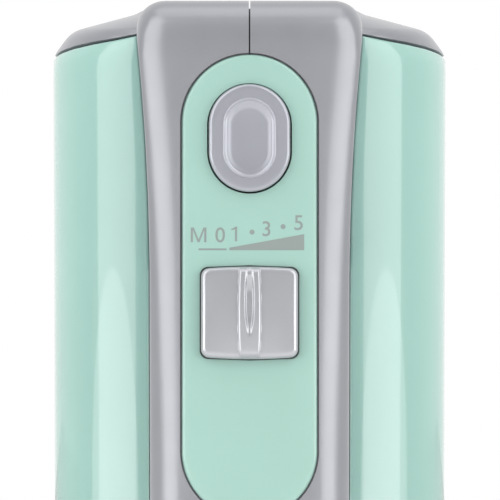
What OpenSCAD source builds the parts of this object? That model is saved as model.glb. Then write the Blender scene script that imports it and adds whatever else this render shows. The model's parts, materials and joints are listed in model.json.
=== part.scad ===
// Hand mixer standing on its heel. +Z runs from the heel to the nose, -Y to the top of the handle,
// +X to the right of a person who looks down on the handle, and the beaters point along +Y.
// The origin is on the heel's face, under the axis of the motor.

/* [Body] */
// Length from the heel to the nose
body_l = 195; // [185:1:205]
// Width of the motor casing
body_w = 88.2; // [86:0.2:92]
// Depth of the motor casing, from the finger gap to the underside
body_d = 78; // [78:1:84]
// Distance from the motor's axis to the top of the handle
handle_top = 103; // [100:1:108]
// Width of the handle's grip
grip_w = 43.4; // [42:0.2:48]
// Width of the spine at the nose
spine_w = 49.6; // [46:0.2:56]
// Thickness of the coloured side panels
panel_t = 2; // [1.6:0.1:2.4]
// Thickness of the housing's wall
wall = 2.4; // [2:0.1:3]

/* [Controls] */
// Width of the control panel
inlay_w = 29.6; // [29:0.2:30.4]
// Length of the control panel
inlay_l = 101.2; // [96:0.2:102]
// Height of the control panel's upper end above the heel
inlay_top = 183.2; // [182:0.2:184]
// Width of the eject button
button_w = 17.74; // [16:0.02:18]
// Length of the eject button
button_l = 23.5; // [22:0.1:24]
// Height of the eject button's middle above the heel
button_z = 165; // [164:0.2:166]
// Width of the speed switch's cap
cap_w = 21.6; // [20:0.2:22]
// Length of the speed switch's cap
cap_l = 20.4; // [18:0.2:21]
// Height of the speed switch's middle above the heel
cap_z = 126.9; // [125:0.1:128]
// Travel of the speed switch to the left, to the momentary setting
travel_left = 2.2; // [1.5:0.1:2.4]
// Travel of the speed switch to the right, to the highest speed
travel_right = 4; // [3:0.1:4.2]

/* [Drive] */
// Distance between the two beater spindles
spindle_gap = 32; // [32:0.1:32.4]
// Height of the spindles above the heel
spindle_z = 152; // [151:0.5:153]
// Radius of the bore that holds a beater's shaft
socket_r = 3; // [2.9:0.05:3.2]

/* [Beaters] */
// Widest radius of a beater's head
beater_r = 20; // [18:0.5:21]
// Distance from the motor's axis to the tip of the beaters
beater_tip = 166; // [155:1:175]
// Length of a beater's head
beater_head = 86; // [70:1:90]
// Width of a beater's strip
strip_w = 5; // [4:0.5:6]
// Thickness of a beater's strip
strip_t = 1.4; // [1.2:0.1:1.8]

/* [Hidden] */
$fn = 48;

MINT = [0.70, 0.86, 0.80];
SILVER = [0.68, 0.69, 0.71];
STEEL = [0.78, 0.79, 0.80];
BLACK = [0.12, 0.12, 0.13];
COPPER = [0.72, 0.42, 0.25];
NYLON = [0.90, 0.89, 0.84];
BRASS = [0.80, 0.68, 0.38];

half_w = body_w / 2;
half_d = body_d / 2;
skin = panel_t + wall;
heel_z = 1;
pad_sink = 1.6;
// Rubber pads of the heel, as [half width, first y, last y]
PADS = [[25, -12, 24], [17, -86, -72]];
eps = 0.02;
seam_gap = 0.1;

// Finger gap between the grip and the motor casing
gap_y = [-76, -half_d];
gap_z = [38, 140];
gap_r = 14;

// Vents in the sides and the underside
vent_z = [for (k = [0:5]) 104 + 5.4 * k];
vent_w = 2.4;
vent_y = 11;

// Screws along X that hold the two halves together, as [y, z, reach of the left head]
SCREWS = [[18, 13, 35], [-24, 12, 35], [16, 182, 31], [-60, 184, 20]];
boss_r = 4;
shank_r = 1.5;

// Control panel and its recess
inlay_t = 2.2;
inlay_gap = 0.35;
inlay_mid = inlay_top - inlay_l / 2;
button_gap = 0.4;
button_proud = 2.2;
stem_w = 8;
stem_l = 9;
slot_gap = 0.4;
cap_t = 3.2;
cap_lift = 0.25;

// Worm drive
gear_teeth = 14;
gear_module = 1.6;
worm_lead = PI * gear_module;
worm_tip_r = 6.1;
worm_root_r = 3.4;
worm_z = [134, 168];
wheel_pitch_r = gear_module * gear_teeth / 2;
wheel_tip_r = wheel_pitch_r + 1.3;
wheel_root_r = wheel_pitch_r - 1.7;
wheel_t = 4;
shaft_r = 3;
running = 0.05;
spindle_r = 5;
bush_r = 7;
plate_y = [9, 13];
gearbox_z = [124, 179];
gearbox_half = 35;
worm_bush_l = 6;
long_bush = 7;
collar_y = [34, 40.6];

// Motor, from the rear to the front
rotor_r = 17;
core_z = [58, 88];
stator_bore = 17.5;
coil_out = 23;
end_turns = 6;
rear_plate = [23, 28];
front_plate = [98, 103];
bearing_r = 8;
commutator_r = 9;
commutator_z = [36, 49];
brush_z = 43;
holder_half = 4.5;
fan_z = 107;
fan_r = 29;
long_screw = [23.5, 20.5];
long_screw_r = 1.8;

// Beaters
beater_shaft_r = socket_r - running;
pusher_end = -13;
pusher_gap = 0.4;
head_y = beater_tip - beater_head;

function unit(v) = v / norm(v);
function turn(a) = a > 180 ? a - 360 : (a < -180 ? a + 360 : a);
function arc_at(p0, p1, p2, r, n) =
    let (u = unit(p0 - p1), v = unit(p2 - p1), half = acos(u * v) / 2,
         c = p1 + unit(u + v) * r / sin(half), a = p1 + u * r / tan(half) - c,
         b = p1 + v * r / tan(half) - c, a0 = atan2(a.y, a.x), sweep = turn(atan2(b.y, b.x) - a0))
    [for (k = [0:n]) c + r * [cos(a0 + sweep * k / n), sin(a0 + sweep * k / n)]];
// Closed outline from corners given as [u, v, radius]
function rounded(pts, n = 6) =
    let (m = len(pts), flat = [for (p = pts) [p[0], p[1]]])
    [for (i = [0:m - 1]) each (pts[i][2] > 0
        ? arc_at(flat[(i + m - 1) % m], flat[i], flat[(i + 1) % m], pts[i][2], n) : [flat[i]])];
// Corners of the right half followed by their mirror images
function both(half) =
    concat(half, [for (i = [len(half) - 1:-1:0]) [-half[i][0], half[i][1], half[i][2]]]);

module xz_prism(y0, y1) translate([0, y1, 0]) rotate([90, 0, 0]) linear_extrude(y1 - y0) children();
module yz_prism(x0, x1) translate([x0, 0, 0]) rotate([90, 0, 90]) linear_extrude(x1 - x0) children();
module rod_x(x0, x1, y, z, r) translate([x0, y, z]) rotate([0, 90, 0]) cylinder(r = r, h = x1 - x0);
module rod_y(y0, y1, x, z, r) translate([x, y0, z]) rotate([-90, 0, 0]) cylinder(r = r, h = y1 - y0);
module rod_z(z0, z1, x, y, r) translate([x, y, z0]) cylinder(r = r, h = z1 - z0);
module block(x, y, z) translate([x[0], y[0], z[0]]) cube([x[1] - x[0], y[1] - y[0], z[1] - z[0]]);
module tube_y(y0, y1, x, z, r_out, r_in) difference() {
    rod_y(y0, y1, x, z, r_out);
    rod_y(y0 - 1, y1 + 1, x, z, r_in);
}
module tube_z(z0, z1, x, y, r_out, r_in) difference() {
    rod_z(z0, z1, x, y, r_out);
    rod_z(z0 - 1, z1 + 1, x, y, r_in);
}
module stadium(w, l) {
    square([w, l - w], center = true);
    for (s = [-1, 1]) translate([0, s * (l - w) / 2]) circle(d = w, $fn = 96);
}

// ---- Shells ----

// Motor casing, drawn i inside its outer surface
module casing(i = 0) {
    section = both([[half_w - i, half_d - i, 26 - i], [half_w - i, -half_d + i, 22 - i]]);
    plan = both([[22 - 0.3 * i, body_l - i, 3], [25 - 0.5 * i, body_l - 1.8 - i, 2],
                 [39.6 - 0.8 * i, body_l - 5.8 - i, 4], [half_w - i, body_l - 11 - i, 5],
                 [half_w - 0.4 - i, 80, 0], [half_w - 3 - i, heel_z + i, 9 - i / 2]]);
    side = [[-half_d + i, heel_z + i, 1], [-half_d + i, body_l - i, 1], [8, body_l - i, 20],
            [half_d - i, body_l - 17 - i, 16], [half_d - i, heel_z + i, 14]];
    intersection() {
        linear_extrude(body_l) polygon(rounded(section, 8));
        xz_prism(-half_d, half_d) polygon(rounded(plan));
        yz_prism(-half_w, half_w) polygon(rounded(side));
    }
}

// Grip and the two bridges that join it to the casing, before the finger gap is cut
module spine() {
    section = both([[spine_w / 2, -half_d + 8, 0], [spine_w / 2, -handle_top, 10]]);
    plan = both([[spine_w / 2 - 2.8, body_l, 3], [spine_w / 2, body_l - 1.8, 2],
                 [spine_w / 2, body_l - 6, 0], [spine_w / 2 - 1.3, body_l - 15, 0],
                 [grip_w / 2 + 0.3, 151.5, 0], [grip_w / 2, 138, 0], [grip_w / 2, 44, 0],
                 [grip_w / 2 + 3, 8, 0], [grip_w / 2 + 2, heel_z, 2]]);
    side = [[-half_d + 8, heel_z, 0], [-handle_top + 8, heel_z, 10], [-handle_top, 40, 60],
            [-handle_top, body_l, 7], [-half_d + 8, body_l, 0]];
    intersection() {
        linear_extrude(body_l) polygon(rounded(section, 8));
        xz_prism(-handle_top, -half_d + 8) polygon(rounded(plan));
        yz_prism(-spine_w / 2, spine_w / 2) polygon(rounded(side));
    }
}

module finger_gap() {
    outline = [[gap_y[0], gap_z[0], gap_r], [gap_y[0], gap_z[1], gap_r], [gap_y[1], gap_z[1], gap_r],
               [gap_y[1], gap_z[0], gap_r]];
    yz_prism(-half_w - 1, half_w + 1) polygon(rounded(outline, 8));
}

// Space that the side panels cover, on both sides
module panel_zone(shrink = 0) {
    // Half widths of the spine at the nose and at the grip, with room for a gap
    nose = spine_w / 2 + 0.2 + shrink;
    edge = grip_w / 2 + 0.3 + shrink;
    outline = [[nose, body_l - 5.4 - shrink, 0], [32.7, body_l - 7.8 - shrink, 0],
               [40.3, body_l - 9.4 - shrink, 0], [half_w + 1, body_l - 11.6 - shrink, 0],
               [half_w + 1, 10 + shrink, 0], [edge + 2, 24 + shrink, 10], [edge, 50, 0],
               [edge, 138, 0], [edge + 0.3, 151.5, 0], [nose - 1, 180, 0]];
    for (s = [0, 1]) mirror([s, 0, 0])
        xz_prism(-half_d - 1, half_d - 14 - shrink) polygon(rounded(outline));
}

module grip_hollow() {
    roof = handle_top - inlay_t - wall;
    block([-grip_w / 2 + wall, grip_w / 2 - wall], [-roof, gap_y[0] - wall], [40, body_l - 8]);
    for (z = [[8, gap_z[0] - wall], [gap_z[1] + wall, body_l - 8]])
        block([-grip_w / 2 + wall, grip_w / 2 - wall], [-roof + 10, -half_d + skin + 2], z);
    block([-grip_w / 2 + wall, grip_w / 2 - wall], [-roof + 6, gap_y[0] - wall], [16, 42]);
}

module vents() {
    for (s = [-1, 1], z = vent_z)
        block(s > 0 ? [half_w - 9, half_w + 1] : [-half_w - 1, -half_w + 9], [-vent_y, vent_y],
              [z - vent_w / 2, z + vent_w / 2]);
    for (s = [-1, 1], k = [0:4])
        block(s > 0 ? [6, 24] : [-24, -6], [half_d - 8, half_d + 1], [34 + 5 * k, 36.2 + 5 * k]);
}

module housing() {
    difference() {
        union() {
            difference() {
                casing();
                panel_zone();
            }
            casing(panel_t);
            spine();
        }
        finger_gap();
        // The underside has no panel over it, so its wall is thin
        intersection() {
            casing(wall);
            block([-half_w, half_w], [27, half_d], [0, body_l]);
        }
        difference() {
            casing(skin);
            // Ribs that hold the motor's two brackets
            for (s = [-1, 1], z = [rear_plate[0], rear_plate[1] + 2.2, front_plate[0], front_plate[1] + 2.2])
                block(s > 0 ? [33.2, 42] : [-42, -33.2], [-12, 12], [z - 2.1, z - 0.1]);
            for (p = SCREWS) if (p[0] > -half_d) rod_x(-half_w, half_w, p[0], p[1], boss_r);
        }
        difference() {
            grip_hollow();
            for (p = SCREWS) if (p[0] < -half_d) rod_x(-half_w, half_w, p[0], p[1], boss_r);
        }
        for (p = SCREWS) {
            rod_x(-half_w, 12, p[0], p[1], shank_r);
            rod_x(-half_w - 1, -p[2], p[0], p[1], 3.2);
        }
        vents();
        inlay_seat();
        spindle_holes();
        inlet_hole();
        pads(0.1);
    }
}

module inlay_seat() {
    xz_prism(-handle_top - 1, -handle_top + inlay_t)
        translate([0, inlay_mid]) stadium(inlay_w + 2 * inlay_gap, inlay_l + 2 * inlay_gap);
    xz_prism(-handle_top, -handle_top + 12)
        translate([0, button_z]) stadium(button_w + 2 * button_gap, button_l + 2 * button_gap);
    switch_slot(-handle_top, -handle_top + 8);
}

module switch_slot(y0, y1) {
    block([-travel_left - stem_w / 2 - slot_gap, travel_right + stem_w / 2 + slot_gap], [y0, y1],
          [cap_z - stem_l / 2 - slot_gap, cap_z + stem_l / 2 + slot_gap]);
}

module spindle_holes() for (s = [-1, 1]) rod_y(20, half_d + 1, s * spindle_gap / 2, spindle_z, 8.2);

inlet_z = 24;
inlet_r = 6.5;
cord_r = 3.4;
module inlet_hole() rod_y(-handle_top - 1, -handle_top + 14, 0, inlet_z, inlet_r);

module half_space(s) block(s > 0 ? [seam_gap / 2, 60] : [-60, -seam_gap / 2], [-130, 60], [-1, 210]);
module left_housing() color(SILVER) intersection() {
    housing();
    half_space(-1);
}
module right_housing() color(SILVER) intersection() {
    housing();
    half_space(1);
}

module side_panels(s) color(MINT) difference() {
    intersection() {
        casing();
        panel_zone(0.15);
        block(s > 0 ? [1, 60] : [-60, -1], [-60, 60], [0, 200]);
    }
    casing(panel_t - eps);
    vents();
    finger_gap();
}
module left_side_panel() side_panels(-1);
module right_side_panel() side_panels(1);

module control_panel() color(MINT) difference() {
    xz_prism(-handle_top, -handle_top + inlay_t) translate([0, inlay_mid]) stadium(inlay_w, inlay_l);
    xz_prism(-handle_top - 1, -handle_top + inlay_t + 1)
        translate([0, button_z]) stadium(button_w + 2 * button_gap, button_l + 2 * button_gap);
    switch_slot(-handle_top - 1, -handle_top + inlay_t + 1);
}

module housing_screws() color(STEEL) for (p = SCREWS) difference() {
    union() {
        rod_x(-p[2] - 2.2, -p[2], p[0], p[1], 3);
        rod_x(-p[2] - 0.5, 11.5, p[0], p[1], shank_r);
    }
    block([-p[2] - 3, -p[2] - 1.2], [p[0] - 2.2, p[0] + 2.2], [p[1] - 0.4, p[1] + 0.4]);
    block([-p[2] - 3, -p[2] - 1.2], [p[0] - 0.4, p[0] + 0.4], [p[1] - 2.2, p[1] + 2.2]);
}

module pads(gap) for (p = PADS) linear_extrude(heel_z + pad_sink)
    polygon(rounded(both([[p[0] + gap, p[2] + gap, 5], [p[0] + gap, p[1] - gap, 5]])));
module heel_pads() color(BLACK) pads(0);

module cord_inlet() color(BLACK) {
    tube_y(-handle_top + 1.5, -handle_top + 14, 0, inlet_z, inlet_r - 0.1, cord_r);
}

// ---- Gearbox ----

module gearbox_plate(y0, y1) xz_prism(y0, y1)
    polygon(rounded(both([[gearbox_half, gearbox_z[0], 4], [gearbox_half, gearbox_z[1], 6]])));
POSTS = [for (x = [-31, 31], z = [128.5, 174]) [x, z]];

module gearbox_frame() color(NYLON) difference() {
    union() {
        gearbox_plate(plate_y[0], plate_y[1]);
        for (p = POSTS) rod_y(-plate_y[0], plate_y[0] + 1, p[0], p[1], 3);
        block([-12, 12], [-plate_y[0], plate_y[0] + 1], [gearbox_z[0], gearbox_z[0] + worm_bush_l]);
        for (s = [-1, 1])
            rod_y(plate_y[1] - 1, plate_y[1] + long_bush, s * spindle_gap / 2, spindle_z, bush_r + 2);
    }
    for (s = [-1, 1]) rod_y(0, plate_y[1] + long_bush + 1, s * spindle_gap / 2, spindle_z, bush_r);
    rod_z(gearbox_z[0] - 1, gearbox_z[0] + worm_bush_l + 1, 0, 0, bush_r);
    for (p = POSTS) rod_y(-plate_y[1], 0, p[0], p[1], shank_r);
}

module gearbox_cover() color(NYLON) difference() {
    gearbox_plate(-plate_y[1], -plate_y[0]);
    for (s = [-1, 1]) rod_y(-20, 0, s * spindle_gap / 2, spindle_z, bush_r);
    for (p = POSTS) rod_y(-plate_y[1] - 1, 0, p[0], p[1], shank_r);
}

module gearbox_screws() color(STEEL) for (p = POSTS) {
    rod_y(-plate_y[1] - 2, -plate_y[1], p[0], p[1], 2.8);
    rod_y(-plate_y[1] - 0.5, -2, p[0], p[1], shank_r - eps);
}

module spindle_bushes() color(BRASS) for (s = [-1, 1]) {
    tube_y(-plate_y[1], -plate_y[0], s * spindle_gap / 2, spindle_z, bush_r, spindle_r + running);
    tube_y(plate_y[0], plate_y[1] + long_bush, s * spindle_gap / 2, spindle_z, bush_r, spindle_r + running);
}

module worm_bush() color(BRASS)
    tube_z(gearbox_z[0], gearbox_z[0] + worm_bush_l, 0, 0, bush_r, shaft_r + running);

// ---- Motor, fixed parts ----

module sector(r_out, r_in, a0, a1, z0, z1) translate([0, 0, z0]) rotate([0, 0, a0])
    rotate_extrude(angle = a1 - a0, $fn = 96) translate([r_in, 0]) square([r_out - r_in, z1 - z0]);

module stator_core() color(STEEL) difference() {
    translate([0, 0, core_z[0]]) linear_extrude(core_z[1] - core_z[0])
        polygon(rounded(both([[29, 26, 8], [29, -26, 8]])));
    rod_z(core_z[0] - 1, core_z[1] + 1, 0, 0, stator_bore);
    for (a = [30, 130, 210, 310]) sector(coil_out + 0.2, 16, a, a + 20, core_z[0] - 1, core_z[1] + 1);
    for (x = [-1, 1], y = [-1, 1])
        rod_z(core_z[0] - 1, core_z[1] + 1, x * long_screw[0], y * long_screw[1], long_screw_r + 0.1);
}

module field_coils() color(COPPER) for (a = [31, 211]) difference() {
    sector(coil_out, 18, a, a + 118, core_z[0] - end_turns, core_z[1] + end_turns);
    sector(coil_out + 1, 17, a + 18, a + 100, core_z[0] - 0.05, core_z[1] + 0.05);
}

module bracket(z) difference() {
    translate([0, 0, z[0]]) linear_extrude(z[1] - z[0]) polygon(rounded(both([[36, 29, 14], [36, -29, 14]])));
    rod_z(z[0] - 1, z[1] + 1, 0, 0, bearing_r);
    for (x = [-1, 1], y = [-1, 1])
        rod_z(z[0] - 1, z[1] + 1, x * long_screw[0], y * long_screw[1], long_screw_r);
    for (s = [-1, 1]) {
        sector(22, 12, 90 * s - 30, 90 * s + 30, z[0] - 1, z[1] + 1);
        sector(22, 12, 90 + 90 * s - 25, 90 + 90 * s + 25, z[0] - 1, z[1] + 1);
    }
}
module spacers(z0, z1) for (x = [-1, 1], y = [-1, 1])
    tube_z(z0, z1, x * long_screw[0], y * long_screw[1], 3.4, long_screw_r);
module front_motor_bracket() color(STEEL) {
    bracket(front_plate);
    spacers(core_z[1], front_plate[0]);
}
module rear_motor_bracket() color(NYLON) {
    bracket(rear_plate);
    spacers(rear_plate[1], core_z[0]);
    for (s = [-1, 1])
        block(s > 0 ? [23, 27] : [-27, -23], [-5, 5], [rear_plate[1] - 1, brush_z - holder_half]);
}

module motor_screws() color(STEEL) for (x = [-1, 1], y = [-1, 1]) {
    rod_z(rear_plate[0] - 2, rear_plate[0], x * long_screw[0], y * long_screw[1], 3);
    rod_z(rear_plate[0] - 0.5, front_plate[1], x * long_screw[0], y * long_screw[1], long_screw_r - eps);
}

module front_bearing() color(BRASS)
    tube_z(front_plate[0], front_plate[1], 0, 0, bearing_r, shaft_r + running);
module rear_bearing() color(BRASS)
    tube_z(rear_plate[0], rear_plate[1], 0, 0, bearing_r, shaft_r + running);

brush_x = [commutator_r + 0.3, 19];
module sides() for (s = [0, 1]) mirror([s, 0, 0]) children();
module brush_holders() color(BRASS) sides() difference() {
    block([12, 29], [-4, 4], [brush_z - holder_half, brush_z + holder_half]);
    block([11, 28], [-2.6, 2.6], [brush_z - 3.1, brush_z + 3.1]);
}
module carbon_brushes() color(BLACK) sides()
    block(brush_x, [-2.55, 2.55], [brush_z - 3.05, brush_z + 3.05]);

// Helical spring along +Z
module coil_spring(r, wire, length, turns, steps = 12, sides = 6) {
    count = turns * steps;
    rings = [for (k = [0:count], j = [0:sides - 1])
        let (a = 360 * k / steps, b = 360 * j / sides, d = r + wire * cos(b))
        [d * cos(a), d * sin(a), wire + (length - 2 * wire) * k / count + wire * sin(b)]];
    ends = [[for (j = [0:sides - 1]) j], [for (j = [sides - 1:-1:0]) count * sides + j]];
    quads = [for (k = [0:count - 1], j = [0:sides - 1]) let (n = (j + 1) % sides)
        [k * sides + j, (k + 1) * sides + j, (k + 1) * sides + n, k * sides + n]];
    polyhedron(points = rings, faces = concat(quads, ends), convexity = 10);
}
module brush_springs() color(STEEL) sides()
    translate([brush_x[1], 0, brush_z]) rotate([0, 90, 0]) coil_spring(1.9, 0.3, 9, 6, 10, 5);

module fan_shroud() color(NYLON) difference() {
    union() {
        tube_z(fan_z - 3.5, fan_z + 11, 0, 0, 32.5, fan_r + 1.5);
        difference() {
            rod_z(fan_z + 9, fan_z + 11, 0, 0, 32);
            rod_z(fan_z + 8, fan_z + 12, 0, 0, 20);
        }
    }
    for (a = [0:45:315]) rotate([0, 0, a]) block([25, 40], [-6, 6], [fan_z, fan_z + 6]);
}

// ---- Electrics ----

board_y = [-86, -84.4];
module control_board() color([0.16, 0.42, 0.25]) block([-14, 14], board_y, [60, 138]);
module heat_sink() color(STEEL) {
    block([-12, 12], [board_y[0] - 2, board_y[0]], [66, 88]);
    for (k = [0:5]) block([-12 + 4.5 * k, -10.5 + 4.5 * k], [board_y[0] - 8, board_y[0] - 1.9], [66, 88]);
}
module suppression_capacitor() color([0.85, 0.72, 0.30]) rod_z(92, 108, 0, board_y[0] - 5, 4.8);
contact_y = [-93, board_y[0]];
module switch_contacts() color(BLACK) difference() {
    block([-14, 14], contact_y, [cap_z - 9, cap_z + 9]);
    block([-12, 12], [contact_y[0] - 1, contact_y[1] - 2], [cap_z - 6.5, cap_z + 6.5]);
}
module detent_spring() color(STEEL) {
    block([-11, 11], [contact_y[1] - 2.3, contact_y[1] - 2], [cap_z - 3, cap_z + 3]);
    for (k = [-2:2]) rod_z(cap_z - 3, cap_z + 3, 4 * k, contact_y[1] - 2.4, 0.35);
}
module terminal_block() color(NYLON) difference() {
    block([-11, 11], [-74, -64], [18, 31]);
    for (x = [-6, 0, 6]) {
        rod_z(17, 32, x, -69, 1.6);
        rod_y(-75, -71, x, 24.5, 2);
    }
}
// Tube along a run of points, with a mitred ring at each of them
module lead(points, r, sides = 8) {
    last = len(points) - 1;
    rings = [for (k = [0:last])
        let (d = unit(unit(points[min(k + 1, last)] - points[min(k, last - 1)])
                 + unit(points[max(k, 1)] - points[max(k - 1, 0)])),
             u = unit(cross(d, [1, 0.1, 0.2])), v = cross(d, u))
        for (j = [0:sides - 1]) points[k] + r * (cos(360 * j / sides) * u + sin(360 * j / sides) * v)];
    quads = [for (k = [0:last - 1], j = [0:sides - 1]) let (n = (j + 1) % sides)
        [k * sides + j, k * sides + n, (k + 1) * sides + n, (k + 1) * sides + j]];
    ends = [[for (j = [sides - 1:-1:0]) j], [for (j = [0:sides - 1]) last * sides + j]];
    polyhedron(points = rings, faces = concat(quads, ends), convexity = 10);
}
// Two leads go from the terminal block to the control board and two to the motor
module lead_wires() color([0.55, 0.12, 0.10]) for (s = [-1, 1]) {
    lead([[6 * s, -69, 31], [6 * s, -70, 33.6], [8 * s, -79, 34], [9 * s, -83, 38], [9 * s, -83.3, 64]], 1);
    lead([[6 * s, -69, 18], [6.5 * s, -66, 14], [9 * s, -56, 14], [14 * s, -42, 19.5], [20 * s, -30, 19.5],
          [31 * s, -10, 19.5], [31 * s, -2, 21.8]], 1);
}

// ---- Eject mechanism ----

rod_r = 2.5;
button_face = -handle_top - button_proud;
button_in = button_face + 8.7;
fork_y = [-29.5, -25.5];
guide_y = [-60, -50];
module eject_guide() color(NYLON) difference() {
    union() {
        rod_y(guide_y[0], guide_y[1], 0, button_z, 6);
        block([-19, 19], guide_y, [button_z - 2, button_z + 2]);
    }
    rod_y(guide_y[0] - 1, guide_y[1] + 1, 0, button_z, rod_r + running);
}
spring_y = [guide_y[0] - 24, guide_y[0]];
module eject_spring() color(STEEL) translate([0, spring_y[0], button_z]) rotate([-90, 0, 0])
    coil_spring(4.2, 0.5, spring_y[1] - spring_y[0], 6);

module eject_button() color(SILVER) difference() {
    union() {
        xz_prism(button_face, button_in) translate([0, button_z]) stadium(button_w, button_l);
        xz_prism(button_in - 1.5, button_in) translate([0, button_z])
            stadium(button_w + 3, button_l + 3);
    }
    difference() {
        xz_prism(button_face + 1.8, button_in + 1) translate([0, button_z])
            stadium(button_w - 3.2, button_l - 3.2);
        rod_y(button_face, button_in, 0, button_z, 4.4);
    }
    xz_prism(button_face - 1, button_face + 0.5) translate([0, button_z]) stadium(9.2, 15);
    rod_y(button_face + 2.5, button_in + 1, 0, button_z, rod_r);
}
module eject_pushrod() color(NYLON) union() {
    rod_y(button_face + 2.5, fork_y[0], 0, button_z, rod_r);
    rod_y(spring_y[0] - 1.6, spring_y[0], 0, button_z, 5);
}
module ejector_fork() color(NYLON) union() {
    xz_prism(fork_y[0], fork_y[1]) polygon(rounded([[-21, 147, 3], [-21, 157, 3], [-6, 171, 4],
        [6, 171, 4], [21, 157, 3], [21, 147, 3]]));
    for (s = [-1, 1]) rod_y(fork_y[1] - 1, pusher_end, s * spindle_gap / 2, spindle_z, 2.4);
}

// ---- Speed switch ----

cap_y = [-handle_top - cap_lift - cap_t, -handle_top - cap_lift];
module speed_switch_cap() color(SILVER) difference() {
    union() {
        xz_prism(cap_y[0] + 0.9, cap_y[1]) translate([0, cap_z])
            polygon(rounded(both([[cap_w / 2, cap_l / 2, 1.2], [cap_w / 2, -cap_l / 2, 1.2]])));
        xz_prism(cap_y[0] + 0.2, cap_y[1]) translate([0, cap_z])
            polygon(rounded(both([[cap_w / 2 - 0.7, cap_l / 2 - 0.7, 1],
                                  [cap_w / 2 - 0.7, -cap_l / 2 + 0.7, 1]])));
        block([-2.7, 2.7], [cap_y[0], cap_y[1]], [cap_z - cap_l / 2 + 0.8, cap_z + cap_l / 2 - 0.8]);
    }
    rod_z(cap_z - cap_l / 2 + 4.5, cap_z + cap_l, 0, cap_y[0] - 1.2, 2);
}
module speed_slider() color(BLACK) union() {
    block([-stem_w / 2, stem_w / 2], [cap_y[1], contact_y[0] + 1.5], [cap_z - stem_l / 2, cap_z + stem_l / 2]);
    block([-7.5, 7.5], [contact_y[0] - 2, contact_y[0] + 2], [cap_z - 6, cap_z + 6]);
    rod_z(cap_z - 3, cap_z + 3, 0, contact_y[0] + 2, 1);
}

// ---- Rotor ----

module worm_thread() {
    steps = 16;
    turns = floor((worm_z[1] - worm_z[0]) / worm_lead) - 0.5;
    count = turns * steps;
    // The thread is centred on the spindles' height on the +X side
    z0 = spindle_z - worm_lead * round((spindle_z - worm_z[0] - 2) / worm_lead);
    profile = [[worm_root_r - 0.6, -1.35], [worm_tip_r, -0.55], [worm_tip_r, 0.55], [worm_root_r - 0.6, 1.35]];
    rings = [for (k = [0:count], p = profile) let (a = 360 * k / steps)
        [p[0] * cos(a), p[0] * sin(a), z0 + worm_lead * k / steps + p[1]]];
    quads = [for (k = [0:count - 1], j = [0:3]) let (n = (j + 1) % 4)
        [4 * k + j, 4 * k + n, 4 * (k + 1) + n, 4 * (k + 1) + j]];
    ends = [[3, 2, 1, 0], [for (j = [0:3]) 4 * count + j]];
    polyhedron(points = rings, faces = concat(quads, ends), convexity = 10);
}
module rotor_shaft() color(STEEL) union() {
    rod_z(18, 171, 0, 0, shaft_r);
    rod_z(worm_z[0] - 2, worm_z[1] + 1, 0, 0, worm_root_r);
    worm_thread();
}
rotor_slots = 12;
module rotor_core() color(STEEL) difference() {
    rod_z(core_z[0], core_z[1], 0, 0, rotor_r);
    rod_z(core_z[0] - 1, core_z[1] + 1, 0, 0, shaft_r);
    for (k = [0:rotor_slots - 1]) rotate([0, 0, 360 * k / rotor_slots]) {
        rod_z(core_z[0] - 1, core_z[1] + 1, 13, 0, 2.1);
        block([13, 18], [-0.6, 0.6], [core_z[0] - 1, core_z[1] + 1]);
    }
}
module rotor_windings() color(COPPER) union() {
    for (z = [core_z[0] - end_turns, core_z[1]]) tube_z(z, z + end_turns, 0, 0, 15.4, 5);
    for (k = [0:rotor_slots - 1]) rotate([0, 0, 360 * k / rotor_slots])
        rod_z(core_z[0] - 1, core_z[1] + 1, 13, 0, 2.05);
}
module commutator() color(COPPER) difference() {
    union() {
        rod_z(commutator_z[0], commutator_z[1], 0, 0, commutator_r);
        rod_z(commutator_z[1] - 2, commutator_z[1], 0, 0, commutator_r + 1.2);
    }
    rod_z(commutator_z[0] - 1, commutator_z[1] + 1, 0, 0, shaft_r);
    for (k = [0:rotor_slots - 1]) rotate([0, 0, 360 * k / rotor_slots])
        block([commutator_r - 1, commutator_r + 2], [-0.25, 0.25], [commutator_z[0] - 1, commutator_z[1] + 1]);
}
module cooling_fan() color(BLACK) difference() {
    union() {
        rod_z(fan_z, fan_z + 1.8, 0, 0, fan_r);
        rod_z(fan_z, fan_z + 8, 0, 0, 6.5);
        for (k = [0:10]) rotate([0, 0, 360 * k / 11]) translate([6, 0, fan_z + 1])
            rotate([0, 0, 12]) block([0, 21.5], [-0.7, 0.7], [0, 6.5]);
    }
    rod_z(fan_z - 1, fan_z + 9, 0, 0, shaft_r);
}

// ---- Worm wheels and spindles ----

// A wheel whose first tooth is turned by a share of the tooth spacing from +X
module worm_wheel(x, first) difference() {
    xz_prism(-wheel_t / 2, wheel_t / 2) translate([x, spindle_z]) polygon([for (k = [0:gear_teeth - 1])
        let (a = 360 * (k + first) / gear_teeth)
        each [for (p = [[wheel_root_r, -6.4], [wheel_tip_r, -2], [wheel_tip_r, 2], [wheel_root_r, 6.4]])
            p[0] * [cos(a + p[1]), sin(a + p[1])]]]);
    rod_y(-wheel_t, wheel_t, x, spindle_z, spindle_r);
}
module left_worm_wheel() color(NYLON) worm_wheel(-spindle_gap / 2, 0);
module right_worm_wheel() color(NYLON) worm_wheel(spindle_gap / 2, 0.5);

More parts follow.
